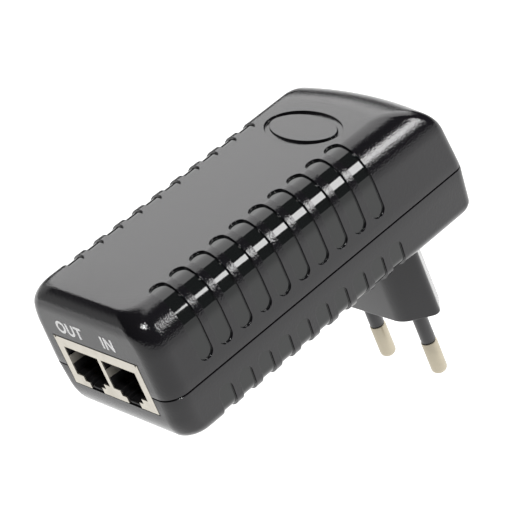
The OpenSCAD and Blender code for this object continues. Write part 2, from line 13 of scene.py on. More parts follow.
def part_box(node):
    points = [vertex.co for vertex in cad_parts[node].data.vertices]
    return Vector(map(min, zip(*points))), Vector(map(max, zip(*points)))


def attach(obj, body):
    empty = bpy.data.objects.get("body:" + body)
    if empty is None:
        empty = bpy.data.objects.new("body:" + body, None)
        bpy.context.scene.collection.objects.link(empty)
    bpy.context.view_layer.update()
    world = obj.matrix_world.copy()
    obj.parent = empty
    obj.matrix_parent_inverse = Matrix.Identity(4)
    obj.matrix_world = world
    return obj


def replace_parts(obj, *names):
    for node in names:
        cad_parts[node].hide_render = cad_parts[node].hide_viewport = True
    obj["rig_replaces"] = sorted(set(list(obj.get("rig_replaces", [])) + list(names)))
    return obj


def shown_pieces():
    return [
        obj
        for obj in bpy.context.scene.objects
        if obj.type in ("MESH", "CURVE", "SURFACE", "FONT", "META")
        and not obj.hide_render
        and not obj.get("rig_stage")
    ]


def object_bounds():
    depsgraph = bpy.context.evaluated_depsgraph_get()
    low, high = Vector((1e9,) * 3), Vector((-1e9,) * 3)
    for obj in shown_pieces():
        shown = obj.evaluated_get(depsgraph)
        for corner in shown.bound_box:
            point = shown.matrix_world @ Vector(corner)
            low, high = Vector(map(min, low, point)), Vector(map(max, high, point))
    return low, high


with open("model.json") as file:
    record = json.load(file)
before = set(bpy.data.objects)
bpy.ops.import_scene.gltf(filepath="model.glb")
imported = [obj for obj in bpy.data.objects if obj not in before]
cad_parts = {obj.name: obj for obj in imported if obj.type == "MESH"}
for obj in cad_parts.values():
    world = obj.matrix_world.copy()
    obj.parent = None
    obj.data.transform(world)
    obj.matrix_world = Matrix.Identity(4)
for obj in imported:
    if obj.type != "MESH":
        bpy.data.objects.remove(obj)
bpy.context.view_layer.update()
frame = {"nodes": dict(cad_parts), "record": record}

bl_info = {
    "name": "Wall-plug power injector",
    "version": (1, 0, 0),
    "blender": (4, 5, 0),
    "location": "View3D > Sidebar > Injector",
    "description": "Ribbed two-shell case, shielded twin jack and two-pin mains plug",
    "category": "Object",
}

MM = 0.001
TOP_LOW, TOP_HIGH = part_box("top_cover")
JACK_LOW, JACK_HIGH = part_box("jack_shield")
LABEL_LOW, LABEL_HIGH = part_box("rating_label")
FACE_Y = JACK_LOW.y

# Distances along the case run from the jack face, and heights from the parting line.
# Oval ring: its middle
OVAL_Y = 71.2 * MM
# Front opening: how far the jack's bottom edge lies below the parting line, and the gap round it
JACK_DROP, JACK_GAP = 4.8 * MM, 0.25 * MM
# Height of the bottom cover's lip, and its clearance in the top cover's rebate
LIP, LIP_CLEARANCE = 1.5 * MM, 0.1 * MM
# Posts under the circuit board: places of their axes, and radii of a post and its locating peg
POST_XS, POST_YS = (-17.4 * MM, 17.4 * MM), (20 * MM, 62.5 * MM)
POST_R, PEG_R = 2 * MM, 1.2 * MM
# Plug boss: half its width and depth, half the length of its flat sides, and its corner radii
BOSS_HALF_W, BOSS_HALF_L, BOSS_HALF_FLAT = 17.5 * MM, 6.4 * MM, 11 * MM
BOSS_TIP_R, BOSS_SIDE_R = 1.6 * MM, 7 * MM
BOSS_WALL, BOSS_FLOOR = 1.9 * MM, 3 * MM
# Rounded foot of the boss, and how far the boss reaches into the case
BOSS_FILLET, BOSS_ROOT = 0.35 * MM, 3 * MM
# Clearance of the pin sleeves in their bores
SLEEVE_CLEARANCE = 0.02 * MM
# Upright corners at the rear of the case, and the least radius of any upright corner inside it
REAR_CORNER_R, LEAST_CORNER_R = 3 * MM, 0.8 * MM

# ---- Colours and small helpers ----

def linear(hex_colour):
    """An sRGB hex colour as linear red, green, blue and alpha."""
    parts = [int(hex_colour[i:i + 2], 16) / 255 for i in (1, 3, 5)]
    return [c / 12.92 if c <= 0.04045 else ((c + 0.055) / 1.055) ** 2.4 for c in parts] + [1.0]


def add_node(tree, kind, settings=None, inputs=None, links=None):
    """Adds a node, sets its properties and inputs, and links outputs of earlier nodes to it."""
    node = tree.nodes.new(kind)
    for name, value in (settings or {}).items():
        setattr(node, name, value)
    for name, value in (inputs or {}).items():
        node.inputs[name].default_value = value
    for name, source in (links or {}).items():
        tree.links.new(source, node.inputs[name])
    return node


def new_material(name):
    """An empty node material and its tree."""
    material = bpy.data.materials.new(name)
    material.use_nodes = True
    material.node_tree.nodes.clear()
    return material, material.node_tree


def new_object(name, data):
    """An object for a mesh, a curve, a lamp or a camera, linked into the scene."""
    obj = bpy.data.objects.new(name, data)
    bpy.context.scene.collection.objects.link(obj)
    return obj


def mesh_object(name, points, faces, edges=()):
    """A mesh object from points, faces and loose edges."""
    mesh = bpy.data.meshes.new(name)
    mesh.from_pydata(points, edges, faces)
    mesh.update()
    return new_object(name, mesh)


def remove_object(obj):
    """Takes an object and its mesh or curve out of the file."""
    data = obj.data
    bpy.data.objects.remove(obj)
    (bpy.data.meshes if isinstance(data, bpy.types.Mesh) else bpy.data.curves).remove(data)


def applied(obj):
    """Replaces an object's mesh by its evaluated one, and drops its modifiers."""
    depsgraph = bpy.context.evaluated_depsgraph_get()
    mesh = bpy.data.meshes.new_from_object(obj.evaluated_get(depsgraph))
    obj.modifiers.clear()
    old, obj.data = obj.data, mesh
    bpy.data.meshes.remove(old)
    mesh.name = obj.name
    return obj


def combine(obj, tool, operation):
    """Cuts, joins or intersects obj with a closed tool, which is then removed."""
    modifier = obj.modifiers.new("combine", "BOOLEAN")
    modifier.operation = operation
    modifier.solver = "MANIFOLD"
    modifier.object = tool
    applied(obj)
    remove_object(tool)
    if not obj.data.polygons:
        raise RuntimeError(f"{obj.name}: nothing is left after the {operation.lower()}")
    return obj


def soften(obj, angle=32):
    """Smooth shading that stays sharp across edges steeper than angle, in degrees."""
    obj.data.shade_smooth()
    obj.data.set_sharp_from_angle(angle=math.radians(angle))
    return obj


def coat(obj, material):
    """Gives the whole of an object one material."""
    obj.data.materials.clear()
    obj.data.materials.append(material)
    obj.data.polygons.foreach_set("material_index", [0] * len(obj.data.polygons))
    return obj


def place(obj, body, slot, *nodes):
    """Rides a finished piece on a body and says which CAD nodes it stands for. The slot is not used."""
    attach(obj, body)
    if nodes:
        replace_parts(obj, *nodes)
    return obj


def arc(centre, radius, start, end, steps):
    """Points along a circular arc, angles in degrees."""
    angles = [math.radians(start + (end - start) * i / steps) for i in range(steps + 1)]
    return [(centre[0] + radius * math.cos(a), centre[1] + radius * math.sin(a)) for a in angles]


def quarter_turn(step):
    """Sine and cosine of each angle from 0 to 90 degrees, step degrees apart."""
    return [(math.sin(math.radians(a)), math.cos(math.radians(a))) for a in range(0, 91, step)]


def ring_solid(name, rings):
    """A closed solid through a stack of rings of equal length, faces outward."""
    n = len(rings[0])
    faces = []
    for k in range(len(rings) - 1):
        for j in range(n):
            a, b = k * n + j, k * n + (j + 1) % n
            faces.append((a, b, b + n, a + n))
    faces.append(tuple(reversed(range(n))))
    faces.append(tuple(range((len(rings) - 1) * n, len(rings) * n)))
    obj = mesh_object(name, [p for ring in rings for p in ring], faces)
    bm = bmesh.new()
    bm.from_mesh(obj.data)
    bmesh.ops.recalc_face_normals(bm, faces=bm.faces)
    bm.to_mesh(obj.data)
    bm.free()
    return obj


def box_solid(name, low, high):
    """A closed box between two corners."""
    x, y, z = zip(low, high)
    base = [(x[0], y[0]), (x[1], y[0]), (x[1], y[1]), (x[0], y[1])]
    return ring_solid(name, [[(px, py, h) for px, py in base] for h in z])


def lathe(name, outline, centre, segments=64):
    """A solid turned about a vertical axis, its outline given as (radius, height) end to end."""
    rings = [
        [(centre[0] + r * math.cos(2 * math.pi * i / segments),
          centre[1] + r * math.sin(2 * math.pi * i / segments), z) for i in range(segments)]
        for r, z in outline
    ]
    return ring_solid(name, rings)


# ---- Sizes that a user would change ----

class CaseSizes(bpy.types.PropertyGroup):
    """Two moulded covers and the rounding of their edges."""

    wall: FloatProperty(
        name="Wall", description="Wall thickness of both covers",
        default=2 * MM, min=1 * MM, max=3 * MM, unit="LENGTH")
    side_round: FloatProperty(
        name="Shoulder reach", description="How far the top cover's shoulders come inward",
        default=7.6 * MM, min=4 * MM, max=10 * MM, unit="LENGTH")
    side_drop: FloatProperty(
        name="Shoulder height", description="Height of the top cover's shoulders",
        default=10 * MM, min=6 * MM, max=12 * MM, unit="LENGTH")
    corner_radius: FloatProperty(
        name="Front corners", description="Radius of the upright front corners",
        default=5 * MM, min=3 * MM, max=8 * MM, unit="LENGTH")
    rear_bow: FloatProperty(
        name="Rear bow", description="How far the rear wall bows out past its corners",
        default=2.3 * MM, min=1 * MM, max=4 * MM, unit="LENGTH")
    seam_gap: FloatProperty(
        name="Seam", description="Gap between the covers at the parting line",
        default=0.3 * MM, min=0.1 * MM, max=0.5 * MM, unit="LENGTH")


class RecessSizes(bpy.types.PropertyGroup):
    """Rows of grip recesses along both sides."""

    count: IntProperty(
        name="Count", description="Recesses in each row", default=10, min=4, max=10)
    pitch: FloatProperty(
        name="Pitch", description="Distance between neighbouring recesses",
        default=6 * MM, min=5 * MM, max=6.2 * MM, unit="LENGTH")
    width: FloatProperty(
        name="Width", description="Width of one recess",
        default=4 * MM, min=3 * MM, max=4.4 * MM, unit="LENGTH")
    depth: FloatProperty(
        name="Depth", description="Depth of the recesses",
        default=0.5 * MM, min=0.3 * MM, max=0.7 * MM, unit="LENGTH")
    top_first: FloatProperty(
        name="First above", description="Distance from the jack face to the top cover's first recess",
        default=12.6 * MM, min=12 * MM, max=14 * MM, unit="LENGTH")
    base_first: FloatProperty(
        name="First below", description="Distance from the jack face to the bottom cover's first recess",
        default=13.7 * MM, min=13 * MM, max=15 * MM, unit="LENGTH")


class OvalSizes(bpy.types.PropertyGroup):
    """Oval ring groove on the top cover."""

    width: FloatProperty(
        name="Width", description="Length of the oval across the case",
        default=24.8 * MM, min=18 * MM, max=26 * MM, unit="LENGTH")
    length: FloatProperty(
        name="Length", description="Width of the oval along the case",
        default=12.2 * MM, min=9 * MM, max=14 * MM, unit="LENGTH")
    groove: FloatProperty(
        name="Groove", description="Width of the groove",
        default=1.3 * MM, min=0.8 * MM, max=1.6 * MM, unit="LENGTH")
    depth: FloatProperty(
        name="Depth", description="Depth of the groove",
        default=0.6 * MM, min=0.4 * MM, max=0.8 * MM, unit="LENGTH")


class FinishColours(bpy.types.PropertyGroup):
    """Colours of the finishes that show from outside."""

    case: FloatVectorProperty(
        name="Case", description="Moulded case plastic",
        default=linear("#1a191c")[:3], size=3, subtype="COLOR", min=0, max=1)
    recess: FloatVectorProperty(
        name="Recess floors", description="Polished floors of the grip recesses",
        default=linear("#1a1c1c")[:3], size=3, subtype="COLOR", min=0, max=1)
    shield: FloatVectorProperty(
        name="Jack shield", description="Tin-plated steel sheet",
        default=linear("#cdc8bd")[:3], size=3, subtype="COLOR", min=0, max=1)
    pins: FloatVectorProperty(
        name="Plug pins", description="Nickel plate",
        default=linear("#b2aa98")[:3], size=3, subtype="COLOR", min=0, max=1)


class PortLabels(bpy.types.PropertyGroup):
    """White printed words over the two ports."""

    left: StringProperty(name="Left word", description="Word over the left port", default="OUT")
    right: StringProperty(name="Right word", description="Word over the right port", default="IN")
    height: FloatProperty(
        name="Letter height", description="Height of the letters",
        default=3.1 * MM, min=1 * MM, max=5 * MM, unit="LENGTH")


class InjectorSizes(bpy.types.PropertyGroup):
    """Everything that the operators read."""

    case: PointerProperty(type=CaseSizes)
    recesses: PointerProperty(type=RecessSizes)
    oval: PointerProperty(type=OvalSizes)
    colours: PointerProperty(type=FinishColours)
    labels: PointerProperty(type=PortLabels)


def sizes():
    """The scene's own sizes."""
    return bpy.context.scene.injector


# ---- Materials ----

def noise(tree, coords, size, detail, roughness=0.5):
    """A noise texture with its grain size in metres."""
    return add_node(
        tree, "ShaderNodeTexNoise", inputs={"Scale": 1 / size, "Detail": detail, "Roughness": roughness},
        links={"Vector": coords.outputs["Object"]})


def rough_skin(name, colour, roughness, grain, bump, mottle=0.06):
    """Moulded plastic with an even grain, given by its grain size in metres and bump depth."""
    material, tree = new_material(name)
    coords = add_node(tree, "ShaderNodeTexCoord")
    grains = noise(tree, coords, grain, 2.0, 0.55)
    drift = noise(tree, coords, 11 * MM, 3.0)
    pale = [min(1, c * (1 + mottle)) for c in colour[:3]] + [1]
    deep = [c * (1 - mottle) for c in colour[:3]] + [1]
    shade = add_node(
        tree, "ShaderNodeMix", {"data_type": "RGBA"}, {"A": deep, "B": pale},
        {"Factor": drift.outputs["Fac"]})
    gloss = add_node(
        tree, "ShaderNodeMapRange",
        inputs={"From Min": 0.3, "From Max": 0.7, "To Min": roughness * 0.88, "To Max": roughness * 1.12},
        links={"Value": drift.outputs["Fac"]})
    relief = add_node(
        tree, "ShaderNodeBump", inputs={"Strength": 1.0, "Distance": bump},
        links={"Height": grains.outputs["Fac"]})
    shader = add_node(
        tree, "ShaderNodeBsdfPrincipled", inputs={"IOR": 1.5},
        links={"Base Color": shade.outputs["Result"], "Roughness": gloss.outputs["Result"],
               "Normal": relief.outputs["Normal"]})
    add_node(tree, "ShaderNodeOutputMaterial", links={"Surface": shader.outputs["BSDF"]})
    return material


def plated(name, colour, roughness, streak, bump, tarnish="#8f877b"):
    """Metal with fine drawn streaks along Z and a little tarnish. Streak is their width in metres."""
    material, tree = new_material(name)
    coords = add_node(tree, "ShaderNodeTexCoord")
    stretched = add_node(
        tree, "ShaderNodeMapping", inputs={"Scale": (1 / streak, 1 / streak, 0.06 / streak)},
        links={"Vector": coords.outputs["Object"]})
    lines = add_node(
        tree, "ShaderNodeTexNoise", inputs={"Scale": 1.0, "Detail": 3.0},
        links={"Vector": stretched.outputs["Vector"]})
    cloud = noise(tree, coords, 3.5 * MM, 4.0)
    share = add_node(
        tree, "ShaderNodeMapRange",
        inputs={"From Min": 0.5, "From Max": 0.8, "To Min": 0.0, "To Max": 0.25},
        links={"Value": cloud.outputs["Fac"]})
    shade = add_node(
        tree, "ShaderNodeMix", {"data_type": "RGBA"}, {"A": list(colour[:3]) + [1], "B": linear(tarnish)},
        {"Factor": share.outputs["Result"]})
    gloss = add_node(
        tree, "ShaderNodeMapRange", inputs={"To Min": roughness * 0.75, "To Max": roughness * 1.25},
        links={"Value": lines.outputs["Fac"]})
    relief = add_node(
        tree, "ShaderNodeBump", inputs={"Strength": 0.6, "Distance": bump},
        links={"Height": lines.outputs["Fac"]})
    shader = add_node(
        tree, "ShaderNodeBsdfPrincipled", inputs={"Metallic": 1.0},
        links={"Base Color": shade.outputs["Result"], "Roughness": gloss.outputs["Result"],
               "Normal": relief.outputs["Normal"]})
    add_node(tree, "ShaderNodeOutputMaterial", links={"Surface": shader.outputs["BSDF"]})
    return material


def case_materials():
    """Spark-textured ABS for the lands, and the same ABS off polished steel for the recess floors."""
    found = bpy.data.materials.get("ABS moulded spark texture")
    if found:
        return [found, bpy.data.materials["ABS moulded polished"]]
    colours = sizes().colours
    # Spark-eroded mould skin: grey sheen in soft light, and white specks where a lamp is mirrored.
    # The real grain is about 0.1 mm and is drawn at 0.45 mm, so that it shows.
    land = rough_skin("ABS moulded spark texture", colours.case, 0.11, 0.45 * MM, 0.055 * MM)
    # Polished mould skin: clear, unbroken reflections
    floor = rough_skin("ABS moulded polished", colours.recess, 0.05, 1.6 * MM, 0.003 * MM)
    return [land, floor]


# ---- Covers ----

# A cover's outer surface: height from the seam, draft of sides, front and rear as a slope, elliptical
# rounding (inward reach, height) of the same three, +1 above the seam or -1 below, the places
# of the recesses' round ends across and up the case, and the distance to the first recess.
Cover = namedtuple("Cover", "height draft side front rear up inner_x outer_z first")

SHOULDER_STEPS = 26
FAN_STEPS = 6
# Width of the flat strip that keeps smooth shading from running out over a flat face
FLAT_EDGE = 0.05 * MM
SEAM_Z = TOP_LOW.z - 0.15 * MM


def top_shape():
    """The top cover: large soft shoulders, tight front edge, long rear rounding."""
    case = sizes().case
    return Cover(
        height=TOP_HIGH.z - SEAM_Z, draft=(0.012, 0.01, 0.1), side=(case.side_round, case.side_drop),
        front=(3.6 * MM, 4.8 * MM), rear=(12.4 * MM, 10 * MM), up=1,
        inner_x=15.3 * MM, outer_z=5.5 * MM, first=sizes().recesses.top_first)


def base_shape():
    """The bottom cover: drafted sides and rounded lower edges."""
    label_sunk = 0.02 * MM
    return Cover(
        height=SEAM_Z - LABEL_LOW.z + label_sunk, draft=(0.125, 0.01, 0.02), side=(4.6 * MM, 3.6 * MM),
        front=(4.6 * MM, 7.4 * MM), rear=(3.6 * MM, 3.6 * MM), up=-1,
        inner_x=16.5 * MM, outer_z=6.5 * MM, first=sizes().recesses.base_first)


def reach(z, height, rounding):
    """How far an elliptical rounding has come inward at height z of a cover."""
    inward, drop = rounding
    u = min(1.0, max(0.0, (z - (height - drop)) / drop))
    return inward * (1 - math.sqrt(1 - u * u))


def half_width(cover, z, inset=0.0):
    """Half the cover's width at height z from the seam."""
    return TOP_HIGH.x - inset - cover.draft[0] * z - reach(z, cover.height, cover.side)


def band(cover):
    """Where the straight ribbed stretch starts and ends along Y."""
    row = sizes().recesses
    start = FACE_Y + cover.first - row.pitch / 2
    return start, start + row.count * row.pitch


def front_path(cover, z, inset=0.0):
    """Plan points at height z from the band's right edge round the front to its left edge."""
    w = half_width(cover, z, inset)
    y0 = FACE_Y + inset + cover.draft[1] * z + reach(z, cover.height, cover.front)
    start = band(cover)[0]
    r = max(sizes().case.corner_radius - 0.9 * inset, LEAST_CORNER_R)
    r = min(r, start - y0 - 2 * FLAT_EDGE)
    right = [(w, start), (w, y0 + r + FLAT_EDGE)] + arc((w - r, y0 + r), r, 0, -90, 12)
    right.append((w - r - FLAT_EDGE, y0))
    return right + [(0.0, y0)] + [(-x, y) for x, y in reversed(right)]


def rear_path(cover, z, inset=0.0):
    """Plan points at height z from the band's right edge round the bowed rear to its left edge."""
    w = half_width(cover, z, inset)
    y1 = TOP_HIGH.y - inset - cover.draft[2] * z - reach(z, cover.height, cover.rear)
    r = max(REAR_CORNER_R - 0.14 * reach(z, cover.height, cover.side) - 0.36 * inset, LEAST_CORNER_R)
    bow = sizes().case.rear_bow
    bow_r = (w * w + bow * bow) / (2 * bow)
    centre_y = y1 - bow_r
    corner = (w - r, centre_y + math.sqrt((bow_r - r) ** 2 - (w - r) ** 2))
    meet = math.degrees(math.atan2(corner[1] - centre_y, corner[0]))
    right = [(w, band(cover)[1])] + arc(corner, r, 0, meet, 10)
    right += arc((0.0, centre_y), bow_r, meet, 90, 14)[1:]
    return right + [(-x, y) for x, y in reversed(right[:-1])]


def plan_ring(cover, z, inset):
    """A whole plan outline at height z, anticlockwise."""
    return list(reversed(front_path(cover, z, inset)))[:-1] + rear_path(cover, z, inset)[:-1]


def rib_heights(cover):
    """Ring rows as (height, inset) from the shoulder's flat end to the seam, and how many of them
    lie above the recesses' lower ends."""
    top, drop = cover.height, cover.side[1]
    rows = [(top - drop + drop * math.cos(math.radians(90 * i / SHOULDER_STEPS)), 0.0)
            for i in range(SHOULDER_STEPS + 1)]
    shoulder_end = rows[-1][0]
    low = cover.outer_z
    gap = sizes().case.seam_gap / 2
    steps = 8
    rows += [(shoulder_end + (low - shoulder_end) * i / steps, 0.0) for i in range(1, steps + 1)]
    half_pitch = sizes().recesses.pitch / 2
    slope = math.cos(math.atan(cover.draft[0]))
    rows += [(low - half_pitch * slope * math.tan(math.radians(45 * i / FAN_STEPS)), 0.0)
             for i in range(1, FAN_STEPS + 1)]
    # Small rounding at the parting line
    edge = 0.22 * MM
    rows += [(gap + edge, 0.0), (gap + 0.08 * MM, 0.03 * MM), (gap + 0.02 * MM, 0.1 * MM), (gap, edge)]
    return rows, SHOULDER_STEPS + steps


def rib_profile(cover):
    """The ribbed band's cross-section in X and Z from the middle of the flat out and down to the seam,
    and the distance along it to each point."""
    rows, low_row = rib_heights(cover)
    points = [(0.0, cover.height)] + [(half_width(cover, z, inset), z) for z, inset in rows]
    lengths = [0.0]
    for a, b in zip(points, points[1:]):
        lengths.append(lengths[-1] + math.dist(a, b))
    return points, lengths, low_row + 1


def recess_loops():
    """Stadium loops from the land over the rounded rim, down the wall and onto the floor:
    (distance outside the recess outline, depth). The first and last keep land and floor flat."""
    depth = sizes().recesses.depth
    rim, foot = 0.1 * MM, 0.12 * MM
    turns = quarter_turn(18)
    loops = [(rim + FLAT_EDGE, 0.0)]
    loops += [(rim * (1 - sine), rim * (1 - cosine)) for sine, cosine in turns]
    loops += [(-0.03 * MM - foot * (1 - cosine), depth - foot * (1 - sine)) for sine, cosine in turns]
    return loops + [(-0.03 * MM - foot - FLAT_EDGE, depth)]


def recess_cell(cover):
    """One recess with its land, laid out flat: X along the cross-section, Y along the case, Z depth."""
    points, lengths, low_row = rib_profile(cover)
    half = sizes().recesses.pitch / 2
    radius = sizes().recesses.width / 2
    straight = [cover.inner_x] + lengths[1:low_row + 1]
    s1, s2 = straight[0], straight[-1]
    steps = 4 * FAN_STEPS
    angles = [math.radians(180 * i / steps) for i in range(1, steps)]

    def loop(r, depth):
        right = [(s, r, -depth) for s in straight]
        left = [(s, -r, -depth) for s in reversed(straight)]
        outer = [(s2 + r * math.sin(a), r * math.cos(a), -depth) for a in angles]
        inner = [(s1 - r * math.sin(a), -r * math.cos(a), -depth) for a in angles]
        return right + outer + left + inner

    def square(a):
        stretch = half / max(abs(math.sin(a)), abs(math.cos(a)))
        return stretch * math.sin(a), stretch * math.cos(a)

    border = [(s, half, 0.0) for s in straight] + [(s2 + square(a)[0], square(a)[1], 0.0) for a in angles]
    border += [(s, -half, 0.0) for s in reversed(straight)]
    border += [(s1 - square(a)[0], -square(a)[1], 0.0) for a in angles]
    loops = [border] + [loop(radius + out, depth) for out, depth in recess_loops()]
    verts = [p for ring in loops for p in ring]
    n, m = len(border), len(straight)
    faces, kinds = [], []
    wall_start = len(loops) - 5
    for k in range(len(loops) - 1):
        for j in range(n):
            a, b = k * n + j, k * n + (j + 1) % n
            faces.append((a, a + n, b + n, b))
            kinds.append(1 if k >= wall_start else 0)
    # Floor: two columns of quads between the sides, and a fan at each round end
    floor = (len(loops) - 1) * n
    middle = len(verts)
    verts += [(s, 0.0, loops[-1][0][2]) for s in straight]
    outer_end, left_start, inner_end = m - 1, m + steps - 1, 2 * m + steps - 2
    for i in range(m - 1):
        left = left_start + (m - 1 - i)
        faces.append((floor + i, middle + i, middle + i + 1, floor + i + 1))
        faces.append((middle + i, floor + left, floor + left - 1, middle + i + 1))
        kinds += [1, 1]
    for j in range(steps):
        faces.append((floor + outer_end + j, middle + m - 1, floor + outer_end + j + 1))
        faces.append((floor + inner_end + j, middle, floor + (inner_end + j + 1) % n))
        kinds += [1, 1]
    # Plain strip from the cell down to the seam, with the same columns as the cell's lower edge
    quarter = FAN_STEPS
    columns = [m - 1 + quarter + j for j in range(2 * quarter + 1)]
    previous = columns
    for s in lengths[low_row + 1 + FAN_STEPS:]:
        row = list(range(len(verts), len(verts) + len(columns)))
        verts += [(s, verts[c][1], 0.0) for c in columns]
        for j in range(len(columns) - 1):
            faces.append((previous[j], previous[j + 1], row[j + 1], row[j]))
            kinds.append(0)
        previous = row
    return verts, faces, kinds


def recess_row_group(name):
    """Geometry nodes that repeat the flat cell along the case, wrap the row on the cross-section
    and mirror it to the other side."""
    group = bpy.data.node_groups.new(name, "GeometryNodeTree")
    group.interface.new_socket(name="Geometry", in_out="OUTPUT", socket_type="NodeSocketGeometry")
    inputs = (
        ("Cell", "Geometry"), ("Count", "Int"), ("Pitch", "Float"), ("First", "Float"),
        ("Section", "Object"), ("Land finish", "Material"), ("Floor finish", "Material"))
    keys = {}
    for label, kind in inputs:
        made = group.interface.new_socket(name=label, in_out="INPUT", socket_type="NodeSocket" + kind)
        keys[label] = made.identifier
    given = add_node(group, "NodeGroupInput")
    step = add_node(group, "ShaderNodeCombineXYZ", links={"Y": given.outputs["Pitch"]})
    start = add_node(group, "ShaderNodeCombineXYZ", links={"Y": given.outputs["First"]})
    spots = add_node(
        group, "GeometryNodeMeshLine",
        links={"Count": given.outputs["Count"], "Start Location": start.outputs[0],
               "Offset": step.outputs[0]})
    row = add_node(
        group, "GeometryNodeInstanceOnPoints",
        links={"Points": spots.outputs["Mesh"], "Instance": given.outputs["Cell"]})
    flat = add_node(group, "GeometryNodeRealizeInstances", links={"Geometry": row.outputs["Instances"]})
    section = add_node(group, "GeometryNodeObjectInfo", links={"Object": given.outputs["Section"]})
    curve = add_node(group, "GeometryNodeMeshToCurve", links={"Mesh": section.outputs["Geometry"]})
    place_now = add_node(group, "GeometryNodeInputPosition")
    split = add_node(group, "ShaderNodeSeparateXYZ", links={"Vector": place_now.outputs[0]})
    sample = add_node(
        group, "GeometryNodeSampleCurve", {"mode": "LENGTH"},
        links={"Curves": curve.outputs["Curve"], "Length": split.outputs["X"]})
    # The outward direction is the section's tangent turned a quarter about the case's length
    outward = add_node(
        group, "ShaderNodeVectorMath", {"operation": "CROSS_PRODUCT"}, {1: (0.0, 1.0, 0.0)},
        {0: sample.outputs["Tangent"]})
    lift = add_node(
        group, "ShaderNodeVectorMath", {"operation": "SCALE"},
        links={0: outward.outputs["Vector"], "Scale": split.outputs["Z"]})
    along = add_node(group, "ShaderNodeCombineXYZ", links={"Y": split.outputs["Y"]})
    base = add_node(
        group, "ShaderNodeVectorMath", {"operation": "ADD"},
        links={0: sample.outputs["Position"], 1: along.outputs[0]})
    target = add_node(
        group, "ShaderNodeVectorMath", {"operation": "ADD"},
        links={0: base.outputs["Vector"], 1: lift.outputs["Vector"]})
    wrapped = add_node(
        group, "GeometryNodeSetPosition",
        links={"Geometry": flat.outputs["Geometry"], "Position": target.outputs["Vector"]})
    mirrored = add_node(
        group, "GeometryNodeTransform", inputs={"Scale": (-1.0, 1.0, 1.0)},
        links={"Geometry": wrapped.outputs["Geometry"]})
    turned = add_node(group, "GeometryNodeFlipFaces", links={"Mesh": mirrored.outputs["Geometry"]})
    both = add_node(group, "GeometryNodeJoinGeometry")
    group.links.new(wrapped.outputs["Geometry"], both.inputs["Geometry"])
    group.links.new(turned.outputs["Mesh"], both.inputs["Geometry"])
    plain = add_node(group, "GeometryNodeRealizeInstances", links={"Geometry": both.outputs["Geometry"]})
    land = add_node(
        group, "GeometryNodeSetMaterial",
        links={"Geometry": plain.outputs["Geometry"], "Material": given.outputs["Land finish"]})
    is_floor = add_node(
        group, "GeometryNodeInputNamedAttribute", {"data_type": "BOOLEAN"}, {"Name": "recess_floor"})
    floor = add_node(
        group, "GeometryNodeSetMaterial",
        links={"Geometry": land.outputs["Geometry"], "Selection": is_floor.outputs["Attribute"],
               "Material": given.outputs["Floor finish"]})
    add_node(group, "NodeGroupOutput", links={"Geometry": floor.outputs["Geometry"]})
    return group, keys


def ribbed_band(cover, name):
    """The ribbed band of a cover as one open mesh, heights measured from the seam."""
    row = sizes().recesses
    verts, faces, kinds = recess_cell(cover)
    cell = mesh_object(name + "_band", verts, faces)
    flags = cell.data.attributes.new("recess_floor", "BOOLEAN", "FACE")
    flags.data.foreach_set("value", [bool(k) for k in kinds])
    points = rib_profile(cover)[0]
    steps = [(i, i + 1) for i in range(len(points) - 1)]
    section = mesh_object(name + "_section", [(x, 0.0, z) for x, z in points], [], steps)
    group, keys = recess_row_group(name + "_recess_rows")
    land, floor = case_materials()
    modifier = cell.modifiers.new("recess rows", "NODES")
    modifier.node_group = group
    values = {"Count": row.count, "Pitch": row.pitch, "First": FACE_Y + cover.first,
              "Section": section, "Land finish": land, "Floor finish": floor}
    for label, value in values.items():
        modifier[keys[label]] = value
    applied(cell)
    remove_object(section)
    bpy.data.node_groups.remove(group)
    return cell


def oval_loops():
    """Groove loops from the outer rim in: (distance inside the oval, depth)."""
    oval = sizes().oval
    rim = 0.15 * MM
    turns = quarter_turn(18)
    near = [(-rim - FLAT_EDGE, 0.0)]
    near += [(rim * (sine - 1), rim * (1 - cosine)) for sine, cosine in turns]
    near += [(0.02 * MM + rim * (1 - cosine), oval.depth - rim * (1 - sine)) for sine, cosine in turns]
    far = [(oval.groove - out, depth) for out, depth in reversed(near)]
    return near + far


def add_oval(bm, height):
    """Groove surface and the island inside it, added to the mesh."""
    oval = sizes().oval
    centre_y = FACE_Y + OVAL_Y
    count = 120
    rings = []
    for inset, depth in oval_loops():
        a, b = oval.width / 2, oval.length / 2
        ring = []
        for i in range(count):
            t = 2 * math.pi * i / count
            x, y = a * math.cos(t), b * math.sin(t)
            normal = Vector((math.cos(t) / a, math.sin(t) / b, 0)).normalized()
            spot = (x - normal.x * inset, centre_y + y - normal.y * inset, height - depth)
            ring.append(bm.verts.new(spot))
        rings.append(ring)
    for a, b in zip(rings, rings[1:]):
        for j in range(count):
            k = (j + 1) % count
            bm.faces.new((a[j], a[k], b[k], b[j]))
    bm.faces.new(rings[-1])


